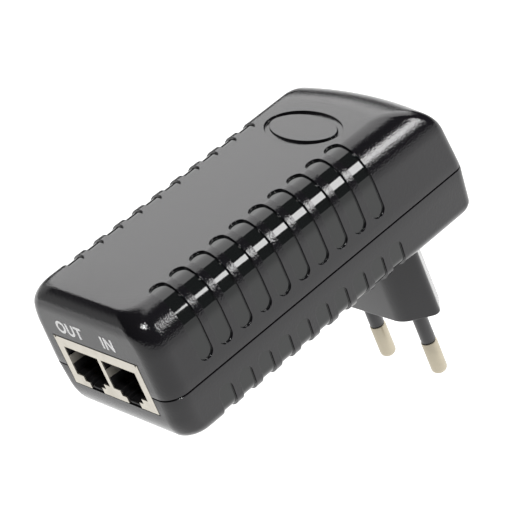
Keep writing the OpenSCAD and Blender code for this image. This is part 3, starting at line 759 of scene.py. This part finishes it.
def outer_surface(cover, name, with_oval):
    """A cover's closed outer solid: ribbed band, rounded ends, flat cap and flat seam face."""
    cell = ribbed_band(cover, name)
    # Land first, then floor, so that faces made from here on are land
    found = [m.name if m else "" for m in cell.data.materials]
    land, floor = case_materials()
    floors = [p.material_index == found.index(floor.name) for p in cell.data.polygons]
    cell.data.materials.clear()
    cell.data.materials.append(land)
    cell.data.materials.append(floor)
    cell.data.polygons.foreach_set("material_index", floors)
    bm = bmesh.new()
    bm.from_mesh(cell.data)
    rows = rib_heights(cover)[0]
    for path in (front_path, rear_path):
        grid = [[bm.verts.new((x, y, z)) for x, y in path(cover, z, inset)] for z, inset in rows]
        for upper, lower in zip(grid, grid[1:]):
            for j in range(len(upper) - 1):
                bm.faces.new((upper[j], upper[j + 1], lower[j + 1], lower[j]))
    # Straight edges from the end patches to the recess cells close the flat cap's outline
    for y in band(cover):
        for side in (-1, 1):
            a = bm.verts.new((side * half_width(cover, cover.height), y, cover.height))
            b = bm.verts.new((side * cover.inner_x, y, cover.height))
            bm.edges.new((a, b))
    if with_oval:
        add_oval(bm, cover.height)
    bmesh.ops.remove_doubles(bm, verts=bm.verts, dist=0.004 * MM)
    # The band's own cells are joined side by side, so only the cap and the seam are open now
    for level in (cover.height, sizes().case.seam_gap / 2):
        rim = [e for e in bm.edges if len(e.link_faces) < 2
               and all(abs(v.co.z - level) < 0.003 * MM for v in e.verts)]
        bmesh.ops.triangle_fill(bm, edges=rim, use_beauty=True, use_dissolve=False)
    if not all(e.is_manifold for e in bm.edges):
        raise RuntimeError(f"{name}: the outer surface isn't closed")
    bmesh.ops.recalc_face_normals(bm, faces=bm.faces)
    bmesh.ops.scale(bm, vec=(1, 1, cover.up), verts=bm.verts)
    bmesh.ops.translate(bm, vec=(0, 0, SEAM_Z), verts=bm.verts)
    bmesh.ops.recalc_face_normals(bm, faces=bm.faces)
    bm.to_mesh(cell.data)
    bm.free()
    cell.name = name
    return cell


def inner_solid(cover, inset, low, name):
    """A closed solid that follows a cover's inside, from height low up to its ceiling."""
    scale = (cover.height - inset) / cover.height
    heights = [low] + [cover.height * h for h in (0.1, 0.3, 0.5)]
    heights += [cover.height * (0.5 + 0.5 * math.sin(math.radians(90 * i / 8))) for i in range(1, 9)]
    rings = [
        [(x, y, SEAM_Z + cover.up * z * scale) for x, y in plan_ring(cover, max(z, 0.0), inset)]
        for z in heights
    ]
    return ring_solid(name, rings)


def plan_prism(name, cover, inset, low, high):
    """An upright solid between two heights that follows the case's outline at the seam."""
    return ring_solid(name, [[(x, y, z) for x, y in plan_ring(cover, 0, inset)] for z in (low, high)])


def jack_window(name):
    """The opening in both covers that the jack shield stands in."""
    low = (JACK_LOW.x - JACK_GAP, FACE_Y - 5 * MM, SEAM_Z - JACK_DROP - JACK_GAP)
    high = (JACK_HIGH.x + JACK_GAP, JACK_HIGH.y, JACK_HIGH.z + JACK_GAP)
    return box_solid(name, low, high)


class INJECTOR_OT_top_cover(bpy.types.Operator):
    """Build the top cover with its recess rows, oval groove and hollow inside"""

    bl_idname = "injector.top_cover"
    bl_label = "Top cover"

    def execute(self, context):
        cover = top_shape()
        obj = outer_surface(cover, "top_cover_shell", True)
        wall = sizes().case.wall
        combine(obj, inner_solid(cover, wall, -1 * MM, "hollow"), "DIFFERENCE")
        rebate_top = SEAM_Z + LIP + 0.3 * MM
        rebate = plan_prism("rebate", cover, wall / 2, SEAM_Z - 1 * MM, rebate_top)
        combine(obj, rebate, "DIFFERENCE")
        combine(obj, jack_window("window"), "DIFFERENCE")
        soften(obj)
        place(obj, "case", "shell", "top_cover")
        return {"FINISHED"}


def rounded_corner(before, corner, after, radius, steps):
    """Arc that rounds a corner of an anticlockwise outline between its neighbours."""
    start = math.degrees(math.atan2(before[0] - corner[0], corner[1] - before[1]))
    end = math.degrees(math.atan2(corner[0] - after[0], after[1] - corner[1]))
    end += 360 if end < start else 0
    middle = math.radians((start + end) / 2)
    away = radius / math.cos(math.radians((end - start) / 2))
    centre = (corner[0] - away * math.cos(middle), corner[1] - away * math.sin(middle))
    return arc(centre, radius, start, end, steps)


def boss_ring(z, inset):
    """The plug boss's long six-sided outline at height z, with rounded corners."""
    tip_r, side_r = max(BOSS_TIP_R - inset, 0.5 * MM), BOSS_SIDE_R - inset
    depth, flat = BOSS_HALF_L - inset, BOSS_HALF_FLAT - inset * 0.5
    # The corners stand a little proud at the sides, because rounding takes their points off
    w = BOSS_HALF_W - inset * 1.2 + 0.42 * tip_r
    corners = [(w, 0), (flat, depth), (-flat, depth), (-w, 0), (-flat, -depth), (flat, -depth)]
    outline = []
    for i in range(6):
        radius = side_r if i % 3 else tip_r
        outline += rounded_corner(corners[i - 1], corners[i], corners[(i + 1) % 6], radius, 9)
    return [(x, y, z) for x, y in outline]


class INJECTOR_OT_bottom_cover(bpy.types.Operator):
    """Build the bottom cover with its recess rows, plug boss, lip and board posts"""

    bl_idname = "injector.bottom_cover"
    bl_label = "Bottom cover"

    def execute(self, context):
        cover = base_shape()
        obj = outer_surface(cover, "bottom_cover_shell", False)
        wall, floor_z = sizes().case.wall, SEAM_Z - cover.height
        rings = [
            boss_ring(BOSS_FILLET * (1 - cosine), BOSS_FILLET * (1 - sine))
            for sine, cosine in quarter_turn(15)
        ]
        combine(obj, ring_solid("boss", rings + [boss_ring(floor_z + BOSS_ROOT, 0)]), "UNION")
        combine(obj, inner_solid(cover, wall, -1 * MM, "hollow"), "DIFFERENCE")
        hollow = [boss_ring(z, BOSS_WALL) for z in (BOSS_FLOOR, SEAM_Z + 1 * MM)]
        combine(obj, ring_solid("boss_hollow", hollow), "DIFFERENCE")
        margin, sunk = 0.3 * MM, 0.2 * MM
        panel = box_solid(
            "panel", (LABEL_LOW.x - margin, LABEL_LOW.y - margin, floor_z - 1 * MM),
            (LABEL_HIGH.x + margin, LABEL_HIGH.y + margin, floor_z + sunk))
        combine(obj, panel, "DIFFERENCE")
        low, high = SEAM_Z - LIP, SEAM_Z + LIP
        lip = plan_prism("lip", cover, wall / 2 + LIP_CLEARANCE, low, high)
        combine(lip, plan_prism("lip_inside", cover, wall, low - MM, high + MM), "DIFFERENCE")
        combine(obj, lip, "UNION")
        board_low, board_high = (c.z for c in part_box("circuit_board"))
        shoulder = board_low - 0.01 * MM
        outline = [(POST_R, floor_z + wall / 2), (POST_R, shoulder), (PEG_R, shoulder), (PEG_R, board_high)]
        for x in POST_XS:
            for y in POST_YS:
                combine(obj, lathe("post", outline, (x, FACE_Y + y), 32), "UNION")
        combine(obj, jack_window("window"), "DIFFERENCE")
        for side in ("left", "right"):
            low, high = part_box(side + "_pin_sleeve")
            centre = (low + high) / 2
            bore = (high.x - low.x) / 2 + SLEEVE_CLEARANCE
            hole = lathe("bore", [(bore, -1 * MM), (bore, BOSS_FLOOR + 1 * MM)], (centre.x, centre.y), 48)
            combine(obj, hole, "DIFFERENCE")
        soften(obj)
        place(obj, "case", "shell", "bottom_cover")
        return {"FINISHED"}


# ---- Plug ----

class INJECTOR_OT_plug(bpy.types.Operator):
    """Build both plug pins and their insulating sleeves"""

    bl_idname = "injector.plug"
    bl_label = "Plug pins"

    def execute(self, context):
        colours = sizes().colours
        # Nickel-plated brass, drawn and tumbled: warm satin metal with faint lengthwise lines
        nickel = plated("Nickel-plated brass drawn", colours.pins, 0.3, 0.25 * MM, 0.004 * MM)
        # Moulded polyamide: soft charcoal sheen, duller than the case
        nylon = rough_skin("Polyamide moulded sleeve", linear("#2b2a2c"), 0.34, 0.5 * MM, 0.008 * MM)
        for side in ("left", "right"):
            low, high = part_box(side + "_plug_pin")
            sleeve_low, sleeve_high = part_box(side + "_pin_sleeve")
            centre = ((sleeve_low.x + sleeve_high.x) / 2, (sleeve_low.y + sleeve_high.y) / 2)
            sleeve_r = (sleeve_high.x - sleeve_low.x) / 2
            tip_r, nose, core_r, bevel = 2 * MM, 1.45 * MM, 1.5 * MM, 0.3 * MM
            collar_r, collar_low, collar_high = 2.6 * MM, 6.2 * MM, 7.8 * MM
            shoulder = sleeve_low.z - 0.05 * MM
            outline = [(tip_r - nose + nose * sine, low.z + nose * (1 - cosine))
                       for sine, cosine in quarter_turn(9)]
            outline += [
                (tip_r, shoulder - bevel), (tip_r - 0.06 * MM, shoulder - 0.1 * MM),
                (tip_r - bevel, shoulder), (core_r, shoulder), (core_r, collar_low),
                (collar_r, collar_low), (collar_r, collar_high), (core_r, collar_high),
                (core_r, high.z - bevel), (core_r - bevel, high.z)]
            pin = soften(lathe(side + "_plug_pin_turned", outline, centre), 40)
            place(coat(pin, nickel), "case", "nickel", side + "_plug_pin")
            edge, bore = 0.12 * MM, core_r + SLEEVE_CLEARANCE
            outline = [(sleeve_r - edge, sleeve_low.z), (sleeve_r - edge * 0.3, sleeve_low.z + edge * 0.3),
                       (sleeve_r, sleeve_low.z + edge), (sleeve_r, sleeve_high.z)]
            sleeve = lathe(side + "_pin_sleeve_moulded", outline, centre)
            hole = lathe("hole", [(bore, sleeve_low.z - 1 * MM), (bore, sleeve_high.z + 1 * MM)], centre)
            combine(sleeve, hole, "DIFFERENCE")
            soften(sleeve, 40)
            place(coat(sleeve, nylon), "case", "sleeve", side + "_pin_sleeve")
        return {"FINISHED"}


# ---- Jack, labels and inner parts ----

def worked_copy(node, name, width):
    """A copy of a CAD node with its triangles merged, flat faces restored and hard edges rounded."""
    obj = new_object(name, frame["nodes"][node].data.copy())
    obj.data.materials.clear()
    bm = bmesh.new()
    bm.from_mesh(obj.data)
    bmesh.ops.remove_doubles(bm, verts=bm.verts, dist=0.001 * MM)
    bmesh.ops.dissolve_limit(bm, angle_limit=math.radians(1), verts=bm.verts, edges=bm.edges)
    bm.to_mesh(obj.data)
    bm.free()
    if obj.data.has_custom_normals:
        with bpy.context.temp_override(object=obj, active_object=obj):
            bpy.ops.mesh.customdata_custom_splitnormals_clear()
    soften(obj, 40)
    if width:
        bevel = obj.modifiers.new("rounded edges", "BEVEL")
        bevel.width, bevel.segments = width, 2
        bevel.limit_method, bevel.angle_limit = "ANGLE", math.radians(30)
        bevel.use_clamp_overlap = True
        # Flat faces stay flat in shading, and only the rounded edges turn
        bevel.harden_normals = True
        applied(obj)
    return obj


class INJECTOR_OT_jack(bpy.types.Operator):
    """Build the jack's shield, housing, terminals and spring contacts"""

    bl_idname = "injector.jack"
    bl_label = "Modular jack"

    def execute(self, context):
        # Tin-plated steel sheet, stamped: warm pale metal, soft reflections, faint rolling lines
        tin = plated("Tin-plated steel stamped", sizes().colours.shield, 0.38, 0.5 * MM, 0.004 * MM)
        # Glass-filled polyester: dull, faintly pebbled black
        black = rough_skin("Polyester glass-filled moulded", linear("#161517"), 0.5, 0.35 * MM, 0.01 * MM)
        # Gold flash on phosphor bronze: clean yellow wire
        gold = plated(
            "Phosphor bronze gold-flashed", linear("#d9b25e"), 0.24, 0.1 * MM, 0.002 * MM, "#a8813c")
        recipes = (
            ("jack_shield", "jack_shield_stamped", "case", "shield", tin, 0.06 * MM),
            ("jack_housing", "jack_housing_moulded", "case", "jack_plastic", black, 0.1 * MM),
            ("jack_terminals", "jack_terminal_wires", "case", "contact", gold, 0.05 * MM),
            ("poe_contacts", "poe_contact_wires", "poe_spring_set", "contact", gold, 0),
            ("lan_contacts", "lan_contact_wires", "lan_spring_set", "contact", gold, 0),
        )
        for node, name, body, slot, material, width in recipes:
            obj = worked_copy(node, name, width)
            place(coat(obj, material), body, slot, node)
        return {"FINISHED"}


class INJECTOR_OT_port_labels(bpy.types.Operator):
    """Print a plain word over each port"""

    bl_idname = "injector.port_labels"
    bl_label = "Port labels"

    def execute(self, context):
        labels = sizes().labels
        # Pad-printed ink: matt white film, very slightly uneven
        ink = rough_skin("Ink pad-printed white", linear("#ffffff"), 0.55, 0.3 * MM, 0.004 * MM, 0.03)
        base_z, film = 10.6 * MM, 0.008 * MM
        # The front wall leans back by its draft
        front_y = FACE_Y + base_z * top_shape().draft[1] + film
        cap_share = 0.7
        words = (("left_port_label", labels.left, -7.4 * MM), ("right_port_label", labels.right, 7 * MM))
        for name, word, x in words:
            curve = bpy.data.curves.new(name, "FONT")
            curve.body = word
            curve.size = labels.height / cap_share
            curve.space_character = 1.1
            curve.align_x = "CENTER"
            curve.extrude = 0.02 * MM
            curve.offset = 0.15 * MM
            text = new_object(name + "_text", curve)
            depsgraph = bpy.context.evaluated_depsgraph_get()
            mesh = bpy.data.meshes.new_from_object(text.evaluated_get(depsgraph))
            remove_object(text)
            upright = Matrix.Rotation(math.radians(90), 4, "X")
            mesh.transform(Matrix.Translation((x, front_y, SEAM_Z + base_z)) @ upright)
            place(coat(new_object(name, mesh), ink), "case", "label")
        return {"FINISHED"}


# Finishes inside the case or on the underside: slot, name, colour, roughness, grain and bump in
# millimetres, and how far the colour drifts.
SKINS = (
    # Polyester film label: smooth pale silver-grey
    ("label", "Polyester film satin", "#c3c4c6", 0.42, 0.4, 0.003, 0.03),
    # Unfilled polyamide: warm cream with a soft sheen
    ("nylon", "Polyamide moulded natural", "#d9d2c0", 0.45, 0.6, 0.01, 0.06),
    # Wire insulation: even, slightly waxy brown and blue
    ("lead_brown", "PVC extruded brown", "#6b3d22", 0.38, 0.8, 0.006, 0.06),
    ("lead_blue", "PVC extruded blue", "#2a5fb0", 0.38, 0.8, 0.006, 0.06),
    # Solder mask: glossy green that drifts a little in shade
    ("board", "Glass-epoxy laminate solder-masked", "#1f6b35", 0.28, 0.7, 0.008, 0.12),
    # Dark moulded bodies: dull black with a fine grain
    ("jack_plastic", "Phenolic moulded black", "#1d1c1e", 0.5, 0.4, 0.01, 0.06),
    # Pressed and fired ferrite: dark dull grey ceramic, slightly pitted
    ("ferrite", "Ferrite sintered", "#3a3a3d", 0.55, 0.3, 0.02, 0.15),
    # Transformer tape: smooth bright yellow film
    ("tape", "Polyester tape yellow", "#d8b325", 0.3, 1.2, 0.01, 0.05),
    # Capacitor sleeves: tight glossy dark blue skin
    ("capacitor_sleeve", "PVC shrink sleeve", "#1c2438", 0.24, 1.5, 0.008, 0.06),
    # X capacitor: plain yellow box with a soft sheen
    ("x_box", "Polyester box yellow", "#d9a92c", 0.4, 0.5, 0.008, 0.06),
    # Dipped discs: uneven glossy coat, blue and green
    ("disc_blue", "Epoxy dipped blue", "#2458a6", 0.3, 0.9, 0.02, 0.1),
    ("disc_green", "Epoxy dipped green", "#23502c", 0.3, 0.9, 0.02, 0.1),
    # Chip packages: matt, finely grained, black or white
    ("chip", "Epoxy moulded package", "#1b1b1c", 0.6, 0.25, 0.012, 0.06),
    ("opto", "Epoxy moulded white package", "#dcdbd5", 0.5, 0.3, 0.01, 0.03),
    # Resistor lacquer: lumpy tan gloss
    ("resistor", "Lacquer dipped tan", "#b58f5d", 0.32, 0.6, 0.015, 0.08),
)
# The same for metals: slot, name, colour, roughness, streak and bump in millimetres, and tarnish.
METALS = (
    # Enamelled wire: clean bright copper with darker streaks
    ("copper", "Copper wire enamelled", "#b8662f", 0.26, 0.3, 0.01, "#8c4a20"),
    # Extruded aluminium: bright satin with long drawn lines
    ("heatsink", "Aluminium extruded", "#c9cbcd", 0.36, 0.3, 0.008, "#9fa2a5"),
    # Zinc plate: bright bluish steel
    ("screw", "Steel zinc-plated", "#c2c6ca", 0.3, 0.3, 0.006, "#8f979f"),
)


def inner_finishes():
    """One material for each row of both lists, by slot name."""
    return {
        slot: make(name, linear(colour), roughness, grain * MM, bump * MM, last)
        for make, rows in ((rough_skin, SKINS), (plated, METALS))
        for slot, name, colour, roughness, grain, bump, last in rows
    }


class INJECTOR_OT_inner_parts(bpy.types.Operator):
    """Round and finish the circuit, leads, retainer and rating label"""

    bl_idname = "injector.inner_parts"
    bl_label = "Inner parts"

    def execute(self, context):
        finishes = inner_finishes()
        done = {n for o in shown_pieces() for n in o.get("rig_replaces", [])}
        thin = {"rating_label": 0.02 * MM, "circuit_board": 0.08 * MM, "diode_heatsink": 0.12 * MM}
        for part in frame["record"]["subparts"]:
            node, slot = part["node"], part["material_slot"]
            if node in done:
                continue
            obj = worked_copy(node, node + "_finished", thin.get(node, 0.1 * MM))
            place(coat(obj, finishes[slot]), "case", slot, node)
        return {"FINISHED"}


# ---- Stage ----

def studio_lamp(name, shape, width, length, radiance, lean, distance, shift):
    """A RECTANGLE or ELLIPSE lamp that hangs along Y. Lean is its angle from straight above towards
    +X in degrees, and shift is how far its middle lies along Y."""
    data = bpy.data.lights.new(name, "AREA")
    data.shape = shape
    data.size, data.size_y = width, length
    data.energy = radiance * width * length * (4 if shape == "RECTANGLE" else math.pi)
    obj = new_object(name, data)
    angle = math.radians(lean)
    obj.location = (distance * math.sin(angle), shift, distance * math.cos(angle))
    obj.rotation_euler = (0, angle, 0)


def studio_world():
    """A dark room, which the camera sees as plain white."""
    world = bpy.data.worlds.new("studio")
    bpy.context.scene.world = world
    world.use_nodes = True
    tree = world.node_tree
    tree.nodes.clear()
    path = add_node(tree, "ShaderNodeLightPath")
    shade = add_node(
        tree, "ShaderNodeMix", {"data_type": "RGBA"}, {"A": linear("#1a1a1b"), "B": linear("#ffffff")},
        {"Factor": path.outputs["Is Camera Ray"]})
    back = add_node(
        tree, "ShaderNodeBackground", inputs={"Strength": 1.0}, links={"Color": shade.outputs["Result"]})
    add_node(tree, "ShaderNodeOutputWorld", links={"Surface": back.outputs["Background"]})


class INJECTOR_OT_stage(bpy.types.Operator):
    """Set the dark room, the lit floor, the lamps and the camera"""

    bl_idname = "injector.stage"
    bl_label = "Studio"

    def execute(self, context):
        scene = context.scene
        scene.view_settings.view_transform = "Standard"
        studio_world()
        floor_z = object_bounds()[0].z - 0.35
        half = 8.0
        corners = [(x * half, y * half, floor_z) for x, y in ((-1, -1), (1, -1), (1, 1), (-1, 1))]
        floor = mesh_object("floor", corners, [(0, 1, 2, 3)])
        # Light table: matt white sheet lit from below, which takes the shadows away
        material, tree = new_material("Acrylic sheet backlit white")
        shader = add_node(
            tree, "ShaderNodeBsdfPrincipled",
            inputs={"Base Color": linear("#cccccb"), "Roughness": 0.9,
                    "Emission Color": linear("#ffffff"), "Emission Strength": 0.9})
        add_node(tree, "ShaderNodeOutputMaterial", links={"Surface": shader.outputs["BSDF"]})
        floor.data.materials.append(material)
        floor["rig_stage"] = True
        studio_lamp("overhead_softbox", "RECTANGLE", 1.75, 1.7, 1.85, -34, 1.1, 1.08)
        studio_lamp("left_wall", "RECTANGLE", 1.2, 2.4, 0.45, -78, 1.6, -0.9)
        studio_lamp("front_spot", "ELLIPSE", 0.16, 0.16, 60, 28, 1.1, -0.3)
        studio_lamp("shoulder_dish", "ELLIPSE", 0.36, 0.5, 12, 58, 1.0, 0.6)

        data = bpy.data.cameras.new("camera")
        camera = new_object("camera", data)
        scene.camera = camera
        data.sensor_width = 36
        data.lens = 174.9
        azimuth, elevation, roll = (math.radians(a) for a in (60.11, 29.12, -23.32))
        distance, target = 0.564, Vector((0.0, -0.029, 0.0331))
        away = Vector((math.sin(azimuth) * math.cos(elevation), -math.cos(azimuth) * math.cos(elevation),
                       math.sin(elevation)))
        camera.location = target + away * distance
        aim = away.to_track_quat("Z", "Y").to_matrix() @ Matrix.Rotation(roll, 3, "Z")
        camera.rotation_euler = aim.to_euler()
        return {"FINISHED"}


# ---- Panel and registration ----

class INJECTOR_PT_panel(bpy.types.Panel):
    """Lists the injector's operators"""

    bl_idname = "INJECTOR_PT_panel"
    bl_label = "Power injector"
    bl_space_type = "VIEW_3D"
    bl_region_type = "UI"
    bl_category = "Injector"

    def draw(self, context):
        for operator in OPERATORS:
            self.layout.operator(operator.bl_idname)


GROUPS = (CaseSizes, RecessSizes, OvalSizes, FinishColours, PortLabels, InjectorSizes)
OPERATORS = (
    INJECTOR_OT_top_cover, INJECTOR_OT_bottom_cover, INJECTOR_OT_plug, INJECTOR_OT_jack,
    INJECTOR_OT_port_labels, INJECTOR_OT_inner_parts, INJECTOR_OT_stage,
)


def register():
    for item in (*GROUPS, *OPERATORS, INJECTOR_PT_panel):
        bpy.utils.register_class(item)
    bpy.types.Scene.injector = PointerProperty(type=InjectorSizes)


def unregister():
    del bpy.types.Scene.injector
    for item in reversed((*GROUPS, *OPERATORS, INJECTOR_PT_panel)):
        bpy.utils.unregister_class(item)


def main():
    """Builds every piece and the stage."""
    register()
    for operator in OPERATORS:
        group, name = operator.bl_idname.split(".")
        getattr(getattr(bpy.ops, group), name)()


if __name__ == "__main__":
    main()
